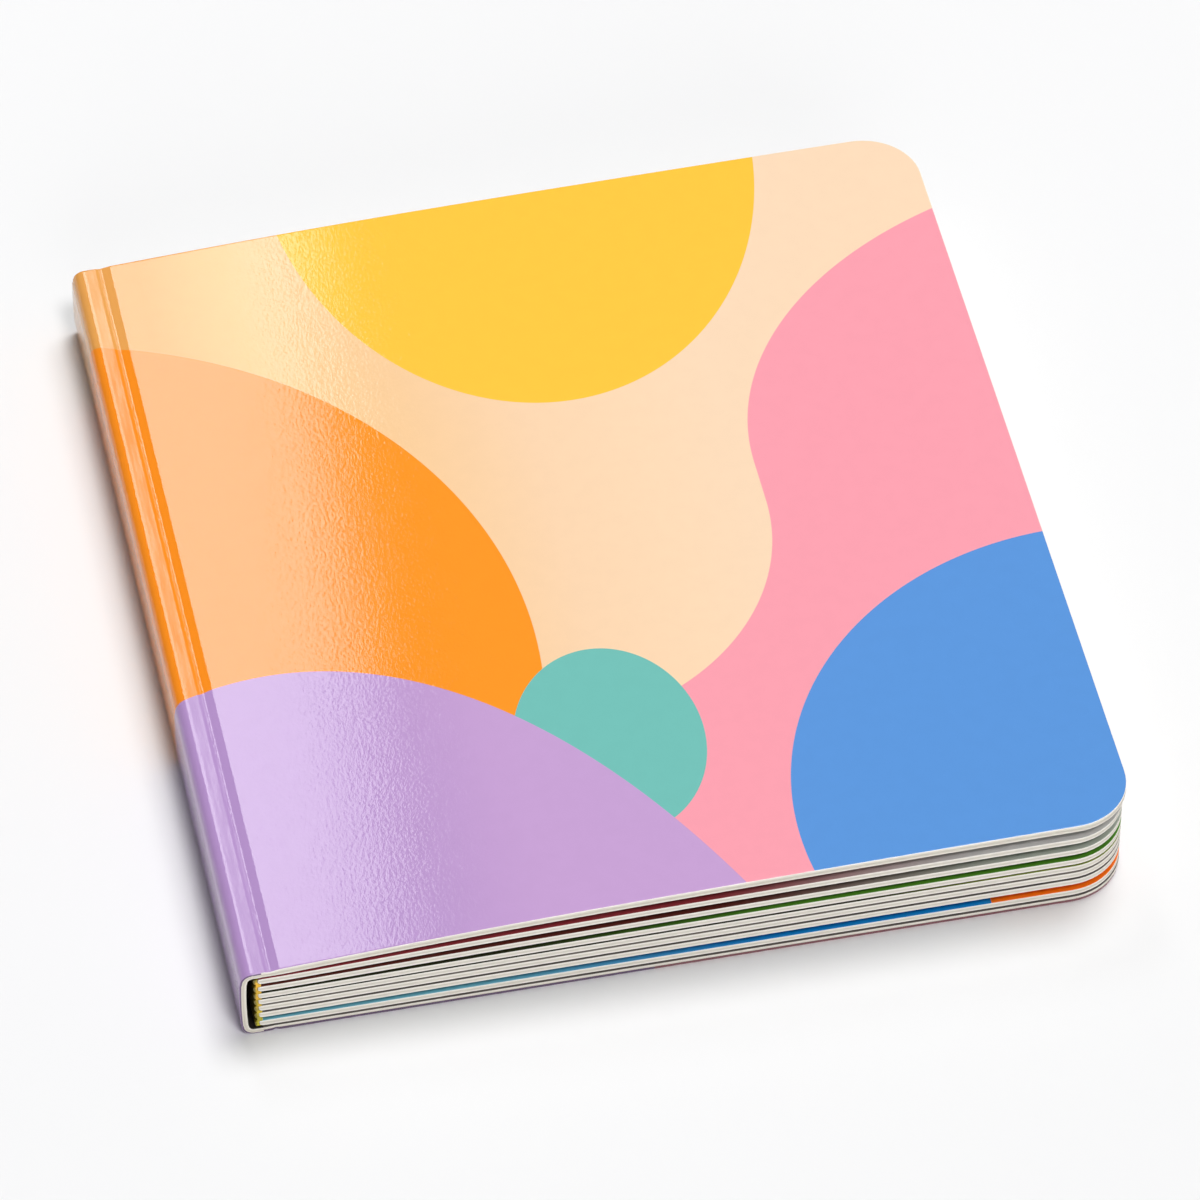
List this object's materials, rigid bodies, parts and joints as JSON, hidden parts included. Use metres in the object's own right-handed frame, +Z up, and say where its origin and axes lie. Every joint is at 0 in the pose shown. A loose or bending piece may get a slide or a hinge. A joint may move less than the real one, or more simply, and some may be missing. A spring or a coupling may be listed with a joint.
{
  "type": "board book",
  "caption": "Closed board book with thick glued board leaves, a hollow square spine, scored hinge creases and rounded fore-edge corners.",
  "frame": {"origin": "middle of the closed book's footprint, on the surface it lies on", "axes": "+X from the spine to the fore-edge, +Y from the tail to the head, +Z up from the back cover to the front cover"},
  "size_m": [0.16, 0.176, 0.02],
  "materials": {
    "printed_cover": "printed, gloss laminated",
    "printed_spine": "printed, gloss laminated",
    "page_board": "cut board edge, uncoated; page faces printed",
    "spine_glue": "dried adhesive film, satin"
  },
  "bodies": {
    "book_block": {"spine_wrap": "printed_spine", "page_block": "page_board", "spine_glue": "spine_glue"},
    "front_board": {"front_cover": "printed_cover"},
    "back_board": {"back_cover": "printed_cover"}
  },
  "joints": [
    {"name": "front_cover_hinge", "type": "hinge", "parent": "book_block", "child": "front_board", "pos_m": [-0.0738, 0, 0.01615], "axis": [0, -1, 0], "range_deg": [0, 178]},
    {"name": "back_cover_hinge", "type": "hinge", "parent": "book_block", "child": "back_board", "pos_m": [-0.0738, 0, -0.00015], "axis": [0, 1, 0], "range_deg": [0, 178]}
  ]
}
